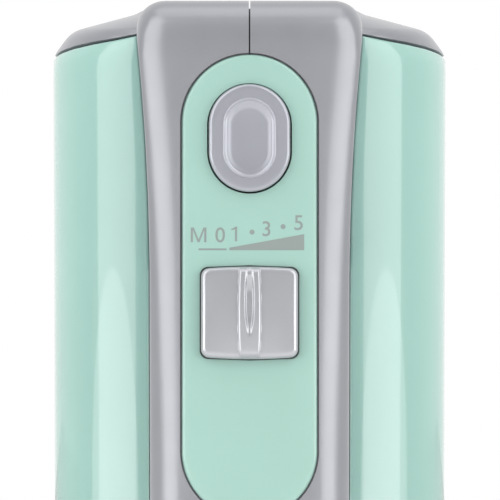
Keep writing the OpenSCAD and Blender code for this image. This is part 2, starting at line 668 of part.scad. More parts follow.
module spindle(x) union() {
    tube_y(-14.5, collar_y[1] - 0.4, x, spindle_z, spindle_r, socket_r);
    for (y = [-plate_y[0] + 0.5, plate_y[0] - 1.5]) tube_y(y, y + 1, x, spindle_z, 6.4, spindle_r - 0.5);
}
module left_spindle() color(STEEL) spindle(-spindle_gap / 2);
module right_spindle() color(STEEL) spindle(spindle_gap / 2);
module socket_collar(x) union() {
    tube_y(collar_y[0], collar_y[1], x, spindle_z, 7.6, spindle_r);
    tube_y(collar_y[1] - 0.4, collar_y[1], x, spindle_z, 7.6, socket_r + 0.3);
}
module left_socket_collar() color(BLACK) socket_collar(-spindle_gap / 2);
module right_socket_collar() color(BLACK) socket_collar(spindle_gap / 2);

// ---- Beaters ----

module beater_shaft(x, collar_r) union() {
    rod_y(pusher_end + pusher_gap, beater_tip - 7, x, spindle_z, beater_shaft_r);
    rod_y(collar_y[1] + 0.3, collar_y[1] + 3, x, spindle_z, collar_r);
    rod_y(head_y - 4, head_y + 3, x, spindle_z, 4.6);
}
// Half of one loop, as a bent strip in the plane of the shaft
module strip() {
    strip_top = head_y + 1;
    strip_end = beater_tip - 4;
    outer = [[3, strip_top, 0], [7, strip_top, 6], [beater_r, strip_top + 34, 26],
             [beater_r - 1, strip_end - 8, 12], [10, strip_end, 8], [3, strip_end, 0]];
    inner = [[3, strip_end - strip_t, 0], [9.6, strip_end - strip_t, 7],
             [beater_r - 1 - strip_t, strip_end - 8.6, 11], [beater_r - strip_t, strip_top + 34.6, 25],
             [6.6, strip_top + strip_t, 5], [3, strip_top + strip_t, 0]];
    translate([0, 0, -strip_w / 2]) linear_extrude(strip_w) polygon(concat(rounded(outer), rounded(inner)));
}
module beater_strips(x, phase) translate([x, 0, spindle_z]) difference() {
    for (k = [0:3]) rotate([0, phase + 90 * k, 0]) strip();
    rod_y(0, beater_tip, 0, 0, 4.6);
}
module tip_hub(x) difference() {
    union() {
        rod_y(beater_tip - 9, beater_tip - 2, x, spindle_z, 4.6);
        translate([x, beater_tip - 4.6, spindle_z]) sphere(r = 4.6);
    }
    rod_y(beater_tip - 20, beater_tip - 7, x, spindle_z, beater_shaft_r);
}
module left_beater_shaft() color(STEEL) beater_shaft(-spindle_gap / 2, 6);
module right_beater_shaft() color(STEEL) beater_shaft(spindle_gap / 2, 7.4);
module left_beater_strips() color(STEEL) beater_strips(-spindle_gap / 2, 0);
module right_beater_strips() color(STEEL) beater_strips(spindle_gap / 2, 45);
module left_beater_tip() color(STEEL) tip_hub(-spindle_gap / 2);
module right_beater_tip() color(STEEL) tip_hub(spindle_gap / 2);

left_housing();
right_housing();
left_side_panel();
right_side_panel();
control_panel();
housing_screws();
heel_pads();
cord_inlet();
gearbox_frame();
gearbox_cover();
gearbox_screws();
spindle_bushes();
worm_bush();
stator_core();
field_coils();
front_motor_bracket();
rear_motor_bracket();
motor_screws();
front_bearing();
rear_bearing();
brush_holders();
carbon_brushes();
brush_springs();
fan_shroud();
control_board();
heat_sink();
suppression_capacitor();
switch_contacts();
detent_spring();
terminal_block();
lead_wires();
eject_guide();
eject_spring();
eject_button();
eject_pushrod();
ejector_fork();
speed_switch_cap();
speed_slider();
rotor_shaft();
rotor_core();
rotor_windings();
commutator();
cooling_fan();
left_worm_wheel();
right_worm_wheel();
left_spindle();
right_spindle();
left_socket_collar();
right_socket_collar();
left_beater_shaft();
right_beater_shaft();
left_beater_strips();
right_beater_strips();
left_beater_tip();
right_beater_tip();
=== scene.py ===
"""Looks of the hand mixer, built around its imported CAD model. It stands on its heel."""

import json
import math

import bmesh
import bpy
import numpy as np
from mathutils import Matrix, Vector


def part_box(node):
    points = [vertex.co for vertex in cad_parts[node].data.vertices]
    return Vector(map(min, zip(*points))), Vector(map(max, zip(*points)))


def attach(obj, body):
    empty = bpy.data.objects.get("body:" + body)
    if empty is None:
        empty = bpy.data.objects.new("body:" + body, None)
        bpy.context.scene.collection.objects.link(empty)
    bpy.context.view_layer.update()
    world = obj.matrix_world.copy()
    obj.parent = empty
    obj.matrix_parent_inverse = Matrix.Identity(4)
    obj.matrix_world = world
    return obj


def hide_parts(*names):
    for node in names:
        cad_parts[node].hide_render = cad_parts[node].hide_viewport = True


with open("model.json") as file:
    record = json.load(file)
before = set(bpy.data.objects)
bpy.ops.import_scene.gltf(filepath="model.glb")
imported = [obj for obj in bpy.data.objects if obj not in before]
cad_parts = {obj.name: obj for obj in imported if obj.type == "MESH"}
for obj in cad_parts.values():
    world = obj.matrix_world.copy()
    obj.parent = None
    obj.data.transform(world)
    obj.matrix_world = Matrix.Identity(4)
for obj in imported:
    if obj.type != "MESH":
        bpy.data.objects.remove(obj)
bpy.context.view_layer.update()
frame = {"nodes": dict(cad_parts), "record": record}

MM = 0.001
scene = bpy.context.scene

# ---- Driving dimensions, in metres, taken from the frame ----

panel_low, panel_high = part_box("control_panel")
button_low, button_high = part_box("eject_button")
cap_low, cap_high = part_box("speed_switch_cap")
housing_low, housing_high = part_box("left_housing")
collar_low, collar_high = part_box("right_socket_collar")

LENGTH = housing_high.z
HEEL = housing_low.z
HALF_W = -housing_low.x
HALF_D = housing_high.y
GRIP_TOP = panel_low.y
SPINDLE_X = (collar_low.x + collar_high.x) / 2
SPINDLE_Z = (collar_low.z + collar_high.z) / 2
BUTTON_Z = (button_low.z + button_high.z) / 2
CAP_Z = (cap_low.z + cap_high.z) / 2

PANEL_T = 2.0 * MM
WALL = 2.4 * MM
CROWN = 3.2  # rise of the grip's top, per metre of x squared
SEAM_HALF = 0.16 * MM
GAP_Y = (-76 * MM, -38.4 * MM)  # finger gap
GAP_Z = (38 * MM, 140 * MM)
GAP_R = 14 * MM
INLAY_GAP = 0.35 * MM
BUTTON_WELL = (18.5 * MM, 24.3 * MM)
INLET_Z = 24 * MM
INLET_R = 6.45 * MM
SOCKET_R = 8.2 * MM
SCREW_AT = (-60 * MM, 184 * MM)  # y and z of the screw well in the left side of the nose
SCREW_WELL_R = 3.2 * MM
PAD_SEAT = 1.6 * MM
EVERY_Y = (-130 * MM, 60 * MM)  # further than the housing reaches


def lerp(a, b, t):
    return a + (b - a) * t


def crown_y(x):
    """The y of the grip's crowned top at x."""
    return GRIP_TOP + CROWN * x * x


# ---- Outlines ----

def rounded(corners, steps=8):
    """Points along a line of (u, v, radius) corners. A corner of radius 0 stays sharp."""
    pts = []
    count = len(corners)
    for i, (u, v, radius) in enumerate(corners):
        p = np.array((u, v), float)
        if radius <= 0:
            pts.append(p)
            continue
        a = np.array(corners[i - 1][:2], float) - p
        b = np.array(corners[(i + 1) % count][:2], float) - p
        a /= np.linalg.norm(a)
        b /= np.linalg.norm(b)
        half = math.acos(float(np.clip(a @ b, -1, 1))) / 2
        centre = p + (a + b) / np.linalg.norm(a + b) * radius / math.sin(half)
        start = p + a * radius / math.tan(half) - centre
        end = p + b * radius / math.tan(half) - centre
        angle = math.acos(float(np.clip(start @ end / radius**2, -1, 1)))
        for k in range(steps + 1):
            t = k / steps
            mix = (math.sin((1 - t) * angle) * start + math.sin(t * angle) * end) / math.sin(angle)
            pts.append(centre + mix)
    return np.array(pts)


def spaced(values, longest):
    """The same run of numbers with extra steps wherever two are further apart than longest."""
    out = [values[0]]
    for a, b in zip(values, values[1:]):
        n = max(1, math.ceil(abs(b - a) / longest))
        out += [lerp(a, b, k / n) for k in range(1, n + 1)]
    return out


def resample(loop, count):
    """count points evenly spaced along a closed loop."""
    ends = np.vstack([loop, loop[:1]])
    steps = np.linalg.norm(np.diff(ends, axis=0), axis=1)
    along = np.concatenate([[0], np.cumsum(steps)])
    at = np.linspace(0, along[-1], count, endpoint=False)
    return np.stack([np.interp(at, along, ends[:, k]) for k in range(2)], 1)


def stadium(width, length, steps=24):
    """Closed outline of a stadium that stands on end, as (x, z) pairs round its middle."""
    r, straight = width / 2, (length - width) / 2
    pts = []
    for k in range(2 * steps):
        a = math.pi * (k + 0.5) / steps
        pts.append((r * math.cos(a), r * math.sin(a) + math.copysign(straight, math.sin(a))))
    return np.array(pts)


# ---- Meshes ----

def mesh_object(name, points, faces, smooth=True):
    mesh = bpy.data.meshes.new(name)
    mesh.from_pydata([tuple(map(float, p)) for p in points], [], faces)
    mesh.validate()
    bm = bmesh.new()
    bm.from_mesh(mesh)
    bmesh.ops.remove_doubles(bm, verts=bm.verts, dist=0.001 * MM)
    bmesh.ops.recalc_face_normals(bm, faces=bm.faces)
    bm.to_mesh(mesh)
    bm.free()
    for p in mesh.polygons:
        p.use_smooth = smooth
    obj = bpy.data.objects.new(name, mesh)
    scene.collection.objects.link(obj)
    return obj


def grid_faces(rows, cols, wrap_rows=False, wrap_cols=False):
    faces = []
    for i in range(rows if wrap_rows else rows - 1):
        for j in range(cols if wrap_cols else cols - 1):
            a, b = i * cols, ((i + 1) % rows) * cols
            k = (j + 1) % cols
            faces.append((a + j, a + k, b + k, b + j))
    return faces


def loft(name, rings, wrap=False):
    """Closed skin through rings of equal length. Its two ends are capped unless wrap joins them."""
    rows, cols = len(rings), len(rings[0])
    faces = grid_faces(rows, cols, wrap, True)
    if not wrap:
        faces.append(tuple(range(cols)))
        faces.append(tuple((rows - 1) * cols + j for j in range(cols)))
    return mesh_object(name, [p for ring in rings for p in ring], faces)


def closed_shell(name, shells, rows, cols):
    """Two grids of the same size, one behind the other, joined round their rim."""
    count = rows * cols
    front = grid_faces(rows, cols)
    faces = front + [tuple(count + k for k in reversed(f)) for f in front]
    rim = [j for j in range(cols)] + [i * cols + cols - 1 for i in range(1, rows)]
    rim += [(rows - 1) * cols + j for j in range(cols - 2, -1, -1)]
    rim += [i * cols for i in range(rows - 2, 0, -1)]
    for a, b in zip(rim, rim[1:] + rim[:1]):
        faces.append((a, b, count + b, count + a))
    return mesh_object(name, shells[0] + shells[1], faces)


def prism(name, outline, y0, y1):
    """An (x, z) outline drawn out from y0 to y1."""
    return loft(name, [[(x, y, z) for x, z in outline] for y in (y0, y1)])


def block(name, x, y, z):
    outline = [(x[0], z[0]), (x[1], z[0]), (x[1], z[1]), (x[0], z[1])]
    return prism(name, outline, y[0], y[1])


def cylinder(name, start, end, radius, sides=48):
    start, end = Vector(start), Vector(end)
    turn = (end - start).to_track_quat("Z", "Y")
    rings = []
    for centre in (start, end):
        ring = []
        for k in range(sides):
            a = 2 * math.pi * k / sides
            ring.append(centre + turn @ Vector((radius * math.cos(a), radius * math.sin(a), 0)))
        rings.append(ring)
    return loft(name, rings)


def boolean(obj, cutters, operation="DIFFERENCE"):
    """Applies cutters to obj one by one and removes them."""
    for cutter in cutters:
        mod = obj.modifiers.new("cut", "BOOLEAN")
        mod.operation = operation
        mod.solver = "MANIFOLD"
        mod.object = cutter
        apply_modifiers(obj)
        bpy.data.objects.remove(cutter)
    return obj


def apply_modifiers(obj):
    graph = bpy.context.evaluated_depsgraph_get()
    graph.update()
    mesh = bpy.data.meshes.new_from_object(obj.evaluated_get(graph))
    old = obj.data
    obj.modifiers.clear()
    obj.data = mesh
    bpy.data.meshes.remove(old)


def shade(obj, angle):
    """Smooth shading with creases sharper than angle, in degrees."""
    bm = bmesh.new()
    bm.from_mesh(obj.data)
    bmesh.ops.remove_doubles(bm, verts=bm.verts, dist=0.002 * MM)
    bmesh.ops.dissolve_degenerate(bm, edges=bm.edges, dist=0.002 * MM)
    limit = math.radians(angle)
    for e in bm.edges:
        e.smooth = len(e.link_faces) != 2 or e.calc_face_angle(0) < limit
    for f in bm.faces:
        f.smooth = True
    bm.to_mesh(obj.data)
    bm.free()


def finish_piece(obj, body, nodes, material):
    """One material, the body that the piece rides on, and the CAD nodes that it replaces."""
    obj.data.materials.clear()
    obj.data.materials.append(material)
    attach(obj, body)
    if nodes:
        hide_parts(*nodes)


# ---- Materials ----

def noise(nodes, links, scale, detail=3.0):
    """Noise in object space, in cycles per metre."""
    coords = nodes.new("ShaderNodeTexCoord")
    tex = nodes.new("ShaderNodeTexNoise")
    tex.inputs["Scale"].default_value = scale
    tex.inputs["Detail"].default_value = detail
    tex.inputs["Roughness"].default_value = 0.5
    links.new(coords.outputs["Object"], tex.inputs["Vector"])
    return tex


def ramp(nodes, links, source, low, high):
    """Colour from low to high over the middle of the source's range."""
    node = nodes.new("ShaderNodeValToRGB")
    for element, position, color in zip(node.color_ramp.elements, (0.3, 0.7), (low, high)):
        element.position = position
        element.color = (*color, 1)
    links.new(source, node.inputs["Fac"])
    return node


def material(name, color, rough, metallic=0.0, coat=0.0, coat_rough=0.05, vary=0.05, scale=40,
             rough_vary=0.04, grain=0.0, grain_scale=4000, brushed=None):
    """A surface with slow colour variation, uneven gloss and a fine grain, in cycles per metre."""
    mat = bpy.data.materials.new(name)
    mat.use_nodes = True
    nodes, links = mat.node_tree.nodes, mat.node_tree.links
    shader = nodes["Principled BSDF"]
    shader.inputs["Metallic"].default_value = metallic
    shader.inputs["IOR"].default_value = 1.5
    shader.inputs["Coat Weight"].default_value = coat
    shader.inputs["Coat Roughness"].default_value = coat_rough
    cloud = noise(nodes, links, scale)
    low = [c * (1 - vary) for c in color]
    high = [min(1, c * (1 + vary)) for c in color]
    tint = ramp(nodes, links, cloud.outputs["Fac"], low, high)
    links.new(tint.outputs["Color"], shader.inputs["Base Color"])
    gloss = noise(nodes, links, scale * 6, 4)
    spread = nodes.new("ShaderNodeMapRange")
    spread.inputs["To Min"].default_value = max(0.02, rough - rough_vary)
    spread.inputs["To Max"].default_value = min(1, rough + rough_vary)
    links.new(gloss.outputs["Fac"], spread.inputs["Value"])
    links.new(spread.outputs["Result"], shader.inputs["Roughness"])
    if grain:
        fine = noise(nodes, links, grain_scale, 2)
        if brushed:
            stretch = nodes.new("ShaderNodeMapping")
            stretch.inputs["Scale"].default_value = brushed
            links.new(fine.inputs["Vector"].links[0].from_socket, stretch.inputs["Vector"])
            links.new(stretch.outputs["Vector"], fine.inputs["Vector"])
        bump = nodes.new("ShaderNodeBump")
        bump.inputs["Strength"].default_value = grain
        bump.inputs["Distance"].default_value = 0.05 * MM
        links.new(fine.outputs["Fac"], bump.inputs["Height"])
        links.new(bump.outputs["Normal"], shader.inputs["Normal"])
    return mat


FINISH = {
    "housing_silver": dict(color=(0.285, 0.29, 0.312), rough=0.32, metallic=0.45, coat=0.3,
                           coat_rough=0.12, vary=0.02, grain=0.06, grain_scale=6000),
    "mint_gloss": dict(color=(0.30, 0.505, 0.447), rough=0.2, coat=1.0, coat_rough=0.02, vary=0.015,
                       rough_vary=0.02, grain=0.02, grain_scale=900),
    "mint_satin": dict(color=(0.285, 0.455, 0.40), rough=0.3, coat=0.6, coat_rough=0.14, vary=0.02,
                       grain=0.05, grain_scale=5000),
    "button_silver": dict(color=(0.365, 0.372, 0.412), rough=0.25, metallic=0.45, coat=0.5,
                          coat_rough=0.06, vary=0.02, grain=0.03, grain_scale=6000),
    "switch_silver": dict(color=(0.425, 0.43, 0.455), rough=0.2, metallic=0.45, coat=0.7,
                          coat_rough=0.05, vary=0.02, grain=0.02, grain_scale=6000),
    "rubber_black": dict(color=(0.02, 0.02, 0.021), rough=0.8, vary=0.2, grain=0.4, grain_scale=3000),
    "steel": dict(color=(0.55, 0.56, 0.57), rough=0.28, metallic=1, grain=0.15, grain_scale=900,
                  brushed=(1, 14, 1)),
    "lamination": dict(color=(0.28, 0.29, 0.31), rough=0.45, metallic=0.9, grain=0.5,
                       grain_scale=300, brushed=(0.02, 0.02, 8)),
    "chrome": dict(color=(0.78, 0.79, 0.80), rough=0.09, metallic=1, vary=0.02, rough_vary=0.03,
                   grain=0.03, grain_scale=800, brushed=(1, 8, 1)),
    "nylon": dict(color=(0.68, 0.66, 0.57), rough=0.5, vary=0.04, grain=0.1, grain_scale=2500),
    "black_plastic": dict(color=(0.025, 0.025, 0.028), rough=0.45, vary=0.15, grain=0.2,
                          grain_scale=3500),
    "bronze": dict(color=(0.50, 0.33, 0.14), rough=0.4, metallic=0.9, vary=0.12, grain=0.4,
                   grain_scale=4000),
    "copper": dict(color=(0.50, 0.19, 0.08), rough=0.3, metallic=0.9, vary=0.15, grain=0.8,
                   grain_scale=700, brushed=(1, 1, 6)),
    "carbon": dict(color=(0.03, 0.03, 0.03), rough=0.7, vary=0.2, grain=0.3, grain_scale=5000),
    "circuit_board": dict(color=(0.02, 0.13, 0.05), rough=0.35, vary=0.25, scale=300, coat=0.3),
    "aluminium": dict(color=(0.60, 0.61, 0.62), rough=0.35, metallic=1, grain=0.2, grain_scale=1500,
                      brushed=(6, 1, 1)),
    "film_yellow": dict(color=(0.60, 0.36, 0.04), rough=0.3, coat=0.3, vary=0.05),
    "wire_red": dict(color=(0.30, 0.015, 0.012), rough=0.4, vary=0.08, grain=0.1, grain_scale=3000),
}
MATERIALS = {slot: material(slot, **look) for slot, look in FINISH.items()}
LEGEND = material("legend_grey", (0.21, 0.245, 0.235), 0.5, vary=0.03)


def dress_cad_nodes():
    """Every CAD node takes the procedural material of its slot."""
    for row in frame["record"]["subparts"]:
        obj = frame["nodes"][row["node"]]
        obj.data.materials.clear()
        obj.data.materials.append(MATERIALS[row["material_slot"]])


# ---- Motor casing ----

def casing_profile(inset=0.0):
    """Heights from heel to nose, and functions for the half width, first y and last y at a height."""
    top, low, w = LENGTH - inset, HEEL + inset, HALF_W - inset
    plan = rounded([(0, top, 0), (22 * MM, top - 0.2 * MM, 3 * MM), (25.5 * MM, top - 2 * MM, 9 * MM),
                    (39.6 * MM - inset * 0.8, top - 5.8 * MM, 7 * MM), (w, top - 11.4 * MM, 6 * MM),
                    (w - 0.4 * MM, 80 * MM, 60 * MM), (w - 3 * MM, low, 9 * MM), (0, low, 0)])
    side = rounded([(-30 * MM, top, 0), (8 * MM, top, 20 * MM), (HALF_D - inset, top - 17 * MM, 16 * MM),
                    (HALF_D - inset, low, 14 * MM), (-30 * MM, low, 0)])
    edge = rounded([(0, top, 0), (-HALF_D + inset, top, 7 * MM), (-HALF_D + inset, low, 7 * MM),
                    (0, low, 0)])
    half = plan[1:-1]
    z = half[:, 1]
    order = np.argsort(z, kind="stable")
    heights = np.array(spaced(list(z[order]), 4 * MM))

    def along(line, start, stop):
        run = line[start:stop]
        run = run[np.argsort(run[:, 1], kind="stable")]
        return lambda h: np.interp(h, run[:, 1], run[:, 0])

    return heights, along(half, 0, None), along(edge, 1, -1), along(side, 1, -1)


SECTION_STEPS = (5, 12, 8, 12, 5)
GRIP_SIDE_R = 22 * MM
UNDERSIDE_R = 26 * MM


def grip_side_radius(w, y0, y1):
    """Radius of the rounding beside the grip, which shrinks with the section."""
    return min(GRIP_SIDE_R, 0.85 * w, 0.45 * (y1 - y0))


def casing_point(a, w, y0, y1):
    """Point of a cross-section's right half. a runs from 0 at the grip's side to 5 at the underside."""
    r0 = grip_side_radius(w, y0, y1)
    r1 = min(UNDERSIDE_R, 0.85 * w, 0.5 * (y1 - y0))
    part, t = min(int(a), 4), a - min(int(a), 4)
    quarter = math.pi / 2 * t
    if part == 0:
        return t * (w - r0), y0
    if part == 1:
        return w - r0 + r0 * math.sin(quarter), y0 + r0 - r0 * math.cos(quarter)
    if part == 2:
        return w, lerp(y0 + r0, y1 - r1, t)
    if part == 3:
        return w - r1 + r1 * math.cos(quarter), y1 - r1 + r1 * math.sin(quarter)
    return (1 - t) * (w - r1), y1


def casing(name, inset=0.0):
    """Closed solid of the motor casing, smaller all round by inset."""
    heights, width, first, last = casing_profile(inset)
    steps = [i + k / n for i, n in enumerate(SECTION_STEPS) for k in range(n)] + [5.0]
    rings = []
    for z in heights:
        w, y0, y1 = float(width(z)), float(first(z)), float(last(z))
        right = [casing_point(a, w, y0, y1) for a in steps]
        ring = right + [(-x, y) for x, y in reversed(right[1:-1])]
        rings.append([(x, y, z) for x, y in ring])
    return loft(name, rings)


# ---- Grip and its two bridges, as a ring round the finger gap ----

def grip_half(z):
    """Half width of the grip at height z: narrow in the hand and wider at both ends."""
    line = [(HEEL, 23.6), (10 * MM, 23.8), (44 * MM, 21.9), (70 * MM, 21.7), (138 * MM, 21.8),
            (151 * MM, 22.1), (165 * MM, 22.75), (180 * MM, 23.9), (187 * MM, 24.6),
            (LENGTH, 24.8)]
    heights, halves = zip(*line)
    return float(np.interp(z, heights, halves)) * MM


def grip_ring(name):
    """The grip and the bridges at both of its ends, swept round the finger gap."""
    inner_y = -32 * MM  # inside the casing
    outer = rounded([(inner_y, HEEL, 0), (GRIP_TOP + 8 * MM, HEEL, 10 * MM),
                     (GRIP_TOP, 40 * MM, 60 * MM), (GRIP_TOP, LENGTH, 7 * MM), (inner_y, LENGTH, 0)], 14)
    inner = rounded([(GAP_Y[1], GAP_Z[0], GAP_R), (GAP_Y[0], GAP_Z[0], GAP_R),
                     (GAP_Y[0], GAP_Z[1], GAP_R), (GAP_Y[1], GAP_Z[1], GAP_R)], 12)
    middle = np.array((sum(GAP_Y) / 2, sum(GAP_Z) / 2))
    inside = resample(inner, 220)
    rays = inside - middle
    rays /= np.linalg.norm(rays, axis=1)[:, None]
    # Each outer station is where the ray from the middle through its inner station leaves the outline
    fine = resample(outer, 4000)
    angles = np.unwrap(np.arctan2(*(fine - middle).T[::-1]))
    wanted = np.unwrap(np.arctan2(rays[:, 1], rays[:, 0]))
    order = np.argsort(angles)
    turns = (wanted - angles.min()) % (2 * math.pi) + angles.min()
    base_angles = np.concatenate([angles[order], [angles[order][0] + 2 * math.pi]])
    base_points = np.vstack([fine[order], fine[order][:1]])
    outside = np.stack([np.interp(turns, base_angles, base_points[:, k]) for k in range(2)], 1)
    rings = []
    for (y_in, z_in), (y_out, z_out) in zip(inside, outside):
        start, end = np.array((y_in, z_in)), np.array((y_out, z_out))
        depth = float(np.linalg.norm(end - start))
        rings.append(grip_section(start, (end - start) / depth, depth))
    return loft(name, rings, wrap=True)


def grip_section(start, way, depth):
    """One closed section of the ring: rounded under the fingers and at the shoulders."""
    under = min(9 * MM, depth * 0.45)
    shoulder = min(6.5 * MM, depth * 0.45)
    # Parts 0 and 4 are the faces at the gap and outside, 1 and 3 the roundings and 2 the side
    pts = [(0, k / 6, 0) for k in range(6)]
    pts += [(1, 1, math.pi / 2 * k / 9) for k in range(9)]
    pts += [(2, 1, k / 6) for k in range(6)]
    pts += [(3, 1, math.pi / 2 * k / 11) for k in range(11)]
    pts += [(4, 1 - k / 9, 0) for k in range(10)]
    right = []
    for part, p, q in pts:
        if part == 0:
            s, across, cut = 0, p, under
        elif part == 1:
            s, across, cut = under * (1 - math.cos(q)), 1, under * (1 - math.sin(q))
        elif part == 2:
            s, across, cut = lerp(under, depth - shoulder, q), 1, 0
        elif part == 3:
            s, across, cut = depth - shoulder * (1 - math.sin(q)), 1, shoulder * (1 - math.cos(q))
        else:
            s, across, cut = depth, p, shoulder
        y, z = start + way * s
        half = grip_half(z)
        x = (half - cut) * across if part in (0, 4) else half - cut
        on_top = max(0.0, -way[0]) * s / depth
        right.append((x, y + CROWN * x * x * on_top, z))
    left = [(-x, y, z) for x, y, z in reversed(right[1:-1])]
    return right + left


# ---- Side panels ----

PANEL_TOP = ((24.6, 189.8), (25, 189.6), (29, 188.2), (33, 187.25), (37, 186.5), (40.5, 185.6),
             (42.8, 184.6), (44, 183.2))  # x and z in millimetres
PANEL_LOW = ((25, 25), (30, 19), (44, 10.5))
PANEL_PROFILE = casing_profile()
PANEL_GAP = 0.3 * MM
PANEL_END = 3.32  # section position where a panel ends, in the rounding to the underside
PANEL_AROUND = 85 * MM  # about its size round the casing
PANEL_LONG = 170 * MM
PANEL_ROLL = 0.9 * MM


def panel_edges(x):
    """Lowest and highest z of a side panel where the casing's face is x from the seam."""
    return [float(np.interp(x / MM, *zip(*line))) * MM for line in (PANEL_LOW, PANEL_TOP)]


def panel_section(z):
    """Half width, first y and last y of the casing at height z."""
    return [float(line(z)) for line in PANEL_PROFILE[1:]]


def skin_point(a, z):
    """Point and outward normal of the casing at section position a and height z."""
    def at(aa, zz):
        return np.array((*casing_point(min(max(aa, 0), 5), *panel_section(zz)), zz))

    p = at(a, z)
    du = at(a + 0.01, z) - at(a - 0.01, z)
    dv = at(a, z + 0.4 * MM) - at(a, z - 0.4 * MM)
    n = np.cross(du, dv)
    n /= np.linalg.norm(n)
    if n[0] < 0 and a > 1:
        n = -n
    if a <= 1 and n[1] > 0:
        n = -n
    return p, n


def a_at_x(x, z):
    """Section position where the casing's grip side is x from the seam."""
    w, y0, y1 = panel_section(z)
    r0 = grip_side_radius(w, y0, y1)
    if x <= w - r0:
        return x / (w - r0)
    return 1 + math.asin(min(1, (x - w + r0) / r0)) / (math.pi / 2)


def edged(count, length):
    """Shares of length from 0 to 1, close together within a panel's rolled edges."""
    start = [k * PANEL_ROLL / length for k in (0, 0.12, 0.3, 0.55, 1.0)]
    inner = list(np.linspace(start[-1], 1 - start[-1], count))
    return start[:-1] + inner + [1 - k for k in reversed(start[:-1])]


def side_panel(name, side, grow=0.0, outer=0.0, depth=PANEL_T):
    """A closed curved shell over one side of the casing. Its edges are rolled unless it stands proud."""
    us = edged(44, PANEL_AROUND)
    vs = edged(60, PANEL_LONG)
    shells = ([], [])
    for v in vs:
        for u in us:
            z = 100 * MM
            for _ in range(5):  # the panel's ends depend on x and its inner edge on z, so both settle
                start = grip_half(z) + PANEL_GAP
                a0 = a_at_x(start - grow, z)
                a1 = PANEL_END + grow / (40 * MM)
                a = lerp(a0, a1, u)
                x = casing_point(a, HALF_W, -HALF_D, HALF_D)[0] if a < 2 else HALF_W
                low, top = panel_edges(max(x, start))
                z = lerp(low - grow, top + grow, v)
            p, n = skin_point(a, z)
            drop = 0.0
            if not outer:
                for d in (min(u, 1 - u) * PANEL_AROUND, min(v, 1 - v) * PANEL_LONG):
                    near = max(0.0, PANEL_ROLL - d)
                    drop += PANEL_ROLL - math.sqrt(max(0, PANEL_ROLL**2 - near**2))
                drop = min(drop, PANEL_ROLL)
            for shell, level in ((0, outer - drop), (1, -depth)):
                q = p + n * level
                shells[shell].append((side * q[0], q[1], q[2]))
    return closed_shell(name, shells, len(vs), len(us))


VENT_Z = [(104 + 5.4 * k) * MM for k in range(6)]
VENT_HALF = 1.2 * MM
VENT_Y = 11 * MM
UNDER_VENT_Z = [(35.1 + 5 * k) * MM for k in range(5)]
PAD_SEATS = ((25.1, -12.1, 24.1), (17.1, -86.1, -71.9))  # half width, first and last y in millimetres


def slot_outline(x_half, z_half, x, z):
    """A slot with round ends that lies along the first axis, round the point (x, z)."""
    return [(x + b, z + a) for a, b in stadium(2 * z_half, 2 * x_half, 6)]


def side_vents(side):
    """Round-ended slots through one side, as solids along X."""
    cutters = []
    for z in VENT_Z:
        outline = slot_outline(VENT_Y, VENT_HALF, 0, z)
        ends = (side * (HALF_W - 9 * MM), side * (HALF_W + 1 * MM))
        cutters.append(loft("vent", [[(x, y, zz) for y, zz in outline] for x in ends]))
    return cutters


def make_side_panels():
    for side, word in ((-1, "left"), (1, "right")):
        panel = side_panel(word + "_side_panel_skin", side)
        boolean(panel, side_vents(side))
        shade(panel, 40)
        finish_piece(panel, "mixer_body", [word + "_side_panel"], MATERIALS["mint_gloss"])


# ---- Housing halves ----

def housing_cutters():
    """What the housing leaves open: seats, holes and vents."""
    inlay = stadium(panel_high.x * 2 + 2 * INLAY_GAP, panel_high.z - panel_low.z + 2 * INLAY_GAP, 40)
    middle = (panel_low.z + panel_high.z) / 2
    button = stadium(*BUTTON_WELL, 32)
    above = GRIP_TOP - 2 * MM
    cutters = [
        prism("inlay_seat", [(x, z + middle) for x, z in inlay], above, GRIP_TOP + 2.2 * MM),
        prism("button_well", [(x, z + BUTTON_Z) for x, z in button], GRIP_TOP, GRIP_TOP + 15 * MM),
        block("switch_well", (-6.9 * MM, 8.7 * MM), (GRIP_TOP, GRIP_TOP + 12 * MM),
              (CAP_Z - 5.2 * MM, CAP_Z + 5.2 * MM)),
        cylinder("screw_well", (-30 * MM, *SCREW_AT), (-19.9 * MM, *SCREW_AT), SCREW_WELL_R),
        cylinder("inlet", (0, above, INLET_Z), (0, GRIP_TOP + 14 * MM, INLET_Z), INLET_R, 64),
    ]
    for side in (-1, 1):
        cutters.append(cylinder("socket", (side * SPINDLE_X, 20 * MM, SPINDLE_Z),
                                (side * SPINDLE_X, HALF_D + 2 * MM, SPINDLE_Z), SOCKET_R, 64))
        cutters.append(side_panel("panel_seat", side, grow=0.3 * MM, outer=3 * MM,
                                  depth=PANEL_T + 0.05 * MM))
        cutters += side_vents(side)
        for z in UNDER_VENT_Z:
            outline = slot_outline(9 * MM, 1.1 * MM, side * 15 * MM, z)
            cutters.append(prism("under_vent", outline, HALF_D - 8 * MM, HALF_D + 1 * MM))
    for half, first, last in PAD_SEATS:
        corners = ((-half, first), (half, first), (half, last), (-half, last))
        outline = rounded([(x * MM, y * MM, 5 * MM) for x, y in corners], 6)
        rings = [[(x, y, z) for x, y in outline] for z in (-1 * MM, HEEL + PAD_SEAT)]
        cutters.append(loft("pad_seat", rings))
    return cutters


def housing_hollows():
    """Room inside for the motor, the gearbox and the parts in the grip."""
    # Half width, first and last y, and first and last z, in millimetres
    rooms = (("grip", 19, -98, -79, 40, 186), ("nose", 19, -88, -30, 143, 186),
             ("heel", 19, -88, -30, 9, 35), ("link", 18.9, -91, -79.1, 15, 44))
    blocks = [block(word + "_hollow", (-half * MM, half * MM), (y0 * MM, y1 * MM), (z0 * MM, z1 * MM))
              for word, half, y0, y1, z0, z1 in rooms]
    return boolean(casing("hollow", PANEL_T + WALL), blocks, "UNION")


